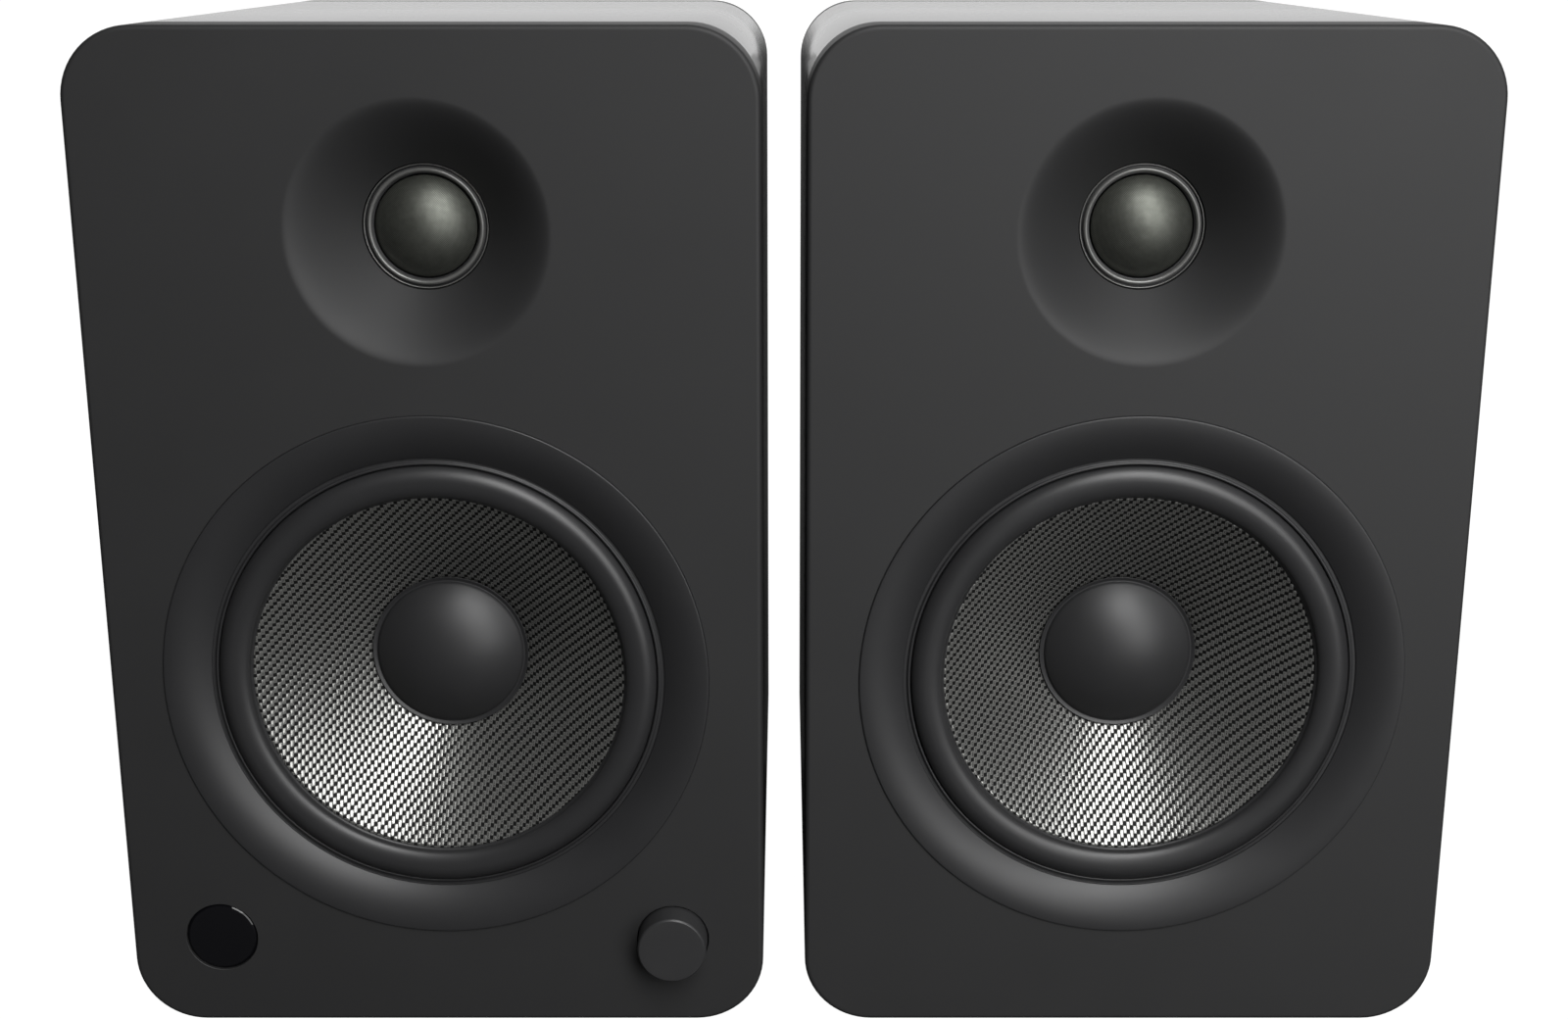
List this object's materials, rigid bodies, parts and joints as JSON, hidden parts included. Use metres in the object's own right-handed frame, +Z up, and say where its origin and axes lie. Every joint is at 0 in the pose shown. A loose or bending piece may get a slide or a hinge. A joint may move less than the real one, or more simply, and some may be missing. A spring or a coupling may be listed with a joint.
{
  "type": "desktop speakers",
  "caption": "Powered desktop loudspeakers in rounded black cabinets, each with a woven-cone woofer and a dome tweeter in a waveguide; the active one has a volume knob.",
  "frame": {"origin": "centre of the pair's bounding box, on the surface that the feet stand on", "axes": "+Z up; the fronts face -Y; +X runs from the active cabinet towards the passive one"},
  "size_m": [0.3678, 0.2464, 0.2805],
  "materials": {
    "cabinet_paint": "satin black paint on fibreboard, very fine orange-peel texture",
    "satin_trim": "moulded, satin black, fine even grain",
    "moulded_black": "moulded black plastic, light grain",
    "gloss_lens": "polished dark tinted lens",
    "rocker_gloss": "moulded, semi-gloss black",
    "knob_black": "fine satin black with a turned bevel",
    "foot_rubber": "matte black rubber",
    "surround_rubber": "moulded butyl rubber, soft sheen",
    "woven_fibre": "black and pale twill-woven fibre in clear resin, bright along its weave",
    "dust_cap": "moulded, satin black",
    "woven_silk": "coated woven silk, fine plain weave, grey sheen",
    "spider_cloth": "resin-treated cotton",
    "cast_frame": "black powder-coated casting",
    "plated_steel": "zinc-plated steel",
    "transformer_steel": "varnished steel laminations",
    "ferrite": "ceramic ferrite, dull dark grey",
    "copper_winding": "enamelled copper winding",
    "panel_metal": "black anodised sheet",
    "circuit_board": "solder-masked board with its components",
    "gold_plate": "gold-plated brass",
    "red_plastic": "moulded red plastic"
  },
  "bodies": {
    "active_speaker": {"active_cabinet_shell": "cabinet_paint", "active_front_baffle": "cabinet_paint", "active_rear_board": "cabinet_paint", "active_port_tube": "moulded_black", "active_front_foot": "foot_rubber", "active_rear_foot": "foot_rubber", "active_woofer_trim_ring": "satin_trim", "active_woofer_basket": "cast_frame", "active_woofer_surround": "surround_rubber", "active_woofer_spider": "spider_cloth", "active_woofer_top_plate": "plated_steel", "active_woofer_magnet": "ferrite", "active_woofer_yoke": "plated_steel", "active_tweeter_faceplate": "satin_trim", "active_tweeter_motor": "ferrite", "active_post_red": "gold_plate", "active_post_black": "gold_plate", "sensor_window": "gloss_lens", "encoder_body": "plated_steel", "amp_plate": "panel_metal", "rca_jacks": "gold_plate", "optical_jack": "moulded_black", "mains_inlet": "moulded_black", "rocker_bezel": "moulded_black", "amp_board": "circuit_board", "transformer": "transformer_steel"},
    "active_woofer_moving": {"active_woofer_cone": "woven_fibre", "active_woofer_dust_cap": "dust_cap", "active_woofer_voice_coil": "copper_winding"},
    "active_tweeter_moving": {"active_tweeter_dome": "woven_silk"},
    "active_cap_red": {"active_post_cap_red": "red_plastic"},
    "active_cap_black": {"active_post_cap_black": "moulded_black"},
    "volume_knob": {"volume_knob": "knob_black"},
    "volume_encoder": {"volume_shaft": "plated_steel"},
    "power_rocker": {"power_rocker": "rocker_gloss"},
    "passive_speaker": {"passive_cabinet_shell": "cabinet_paint", "passive_front_baffle": "cabinet_paint", "passive_rear_board": "cabinet_paint", "passive_port_tube": "moulded_black", "passive_front_foot": "foot_rubber", "passive_rear_foot": "foot_rubber", "passive_woofer_trim_ring": "satin_trim", "passive_woofer_basket": "cast_frame", "passive_woofer_surround": "surround_rubber", "passive_woofer_spider": "spider_cloth", "passive_woofer_top_plate": "plated_steel", "passive_woofer_magnet": "ferrite", "passive_woofer_yoke": "plated_steel", "passive_tweeter_faceplate": "satin_trim", "passive_tweeter_motor": "ferrite", "passive_post_red": "gold_plate", "passive_post_black": "gold_plate", "terminal_plate": "panel_metal", "crossover_board": "circuit_board"},
    "passive_woofer_moving": {"passive_woofer_cone": "woven_fibre", "passive_woofer_dust_cap": "dust_cap", "passive_woofer_voice_coil": "copper_winding"},
    "passive_tweeter_moving": {"passive_tweeter_dome": "woven_silk"},
    "passive_cap_red": {"passive_post_cap_red": "red_plastic"},
    "passive_cap_black": {"passive_post_cap_black": "moulded_black"}
  },
  "joints": [
    {"name": "passive_placement", "type": "slide", "parent": "active_speaker", "child": "passive_speaker", "axis": [1, 0, 0], "range_m": [0, 0.6]},
    {"name": "active_woofer_excursion", "type": "slide", "parent": "active_speaker", "child": "active_woofer_moving", "axis": [0, 1, 0], "range_m": [-0.004, 0.004], "stiffness_N_per_m": 1500, "deforming": ["active_woofer_surround", "active_woofer_spider"]},
    {"name": "active_tweeter_excursion", "type": "slide", "parent": "active_speaker", "child": "active_tweeter_moving", "axis": [0, 1, 0], "range_m": [-0.0003, 0.0003], "stiffness_N_per_m": 60},
    {"name": "passive_woofer_excursion", "type": "slide", "parent": "passive_speaker", "child": "passive_woofer_moving", "axis": [0, 1, 0], "range_m": [-0.004, 0.004], "stiffness_N_per_m": 1500, "deforming": ["passive_woofer_surround", "passive_woofer_spider"]},
    {"name": "passive_tweeter_excursion", "type": "slide", "parent": "passive_speaker", "child": "passive_tweeter_moving", "axis": [0, 1, 0], "range_m": [-0.0003, 0.0003], "stiffness_N_per_m": 60},
    {"name": "volume_press", "type": "slide", "parent": "active_speaker", "child": "volume_encoder", "axis": [0, 1, 0], "range_m": [0, 0.001], "stiffness_N_per_m": 400, "springref_m": -0.0008},
    {"name": "volume_turn", "type": "hinge", "parent": "volume_encoder", "child": "volume_knob", "pos_m": [-0.0314, -0.1157, 0.02825], "axis": [0, 1, 0], "continuous": true},
    {"name": "power_switch", "type": "hinge", "parent": "active_speaker", "child": "power_rocker", "pos_m": [-0.0589, 0.1062, 0.057], "axis": [1, 0, 0], "range_deg": [0, 14]},
    {"name": "active_cap_red_turn", "type": "hinge", "parent": "active_speaker", "child": "active_cap_red", "pos_m": [-0.0709, 0.1163, 0.155], "axis": [0, 1, 0], "range_deg": [0, 1080]},
    {"name": "active_cap_black_turn", "type": "hinge", "parent": "active_speaker", "child": "active_cap_black", "pos_m": [-0.0509, 0.1163, 0.155], "axis": [0, 1, 0], "range_deg": [0, 1080]},
    {"name": "passive_cap_red_turn", "type": "hinge", "parent": "passive_speaker", "child": "passive_cap_red", "pos_m": [0.0849, 0.1163, 0.098], "axis": [0, 1, 0], "range_deg": [0, 1080]},
    {"name": "passive_cap_black_turn", "type": "hinge", "parent": "passive_speaker", "child": "passive_cap_black", "pos_m": [0.1049, 0.1163, 0.098], "axis": [0, 1, 0], "range_deg": [0, 1080]}
  ]
}
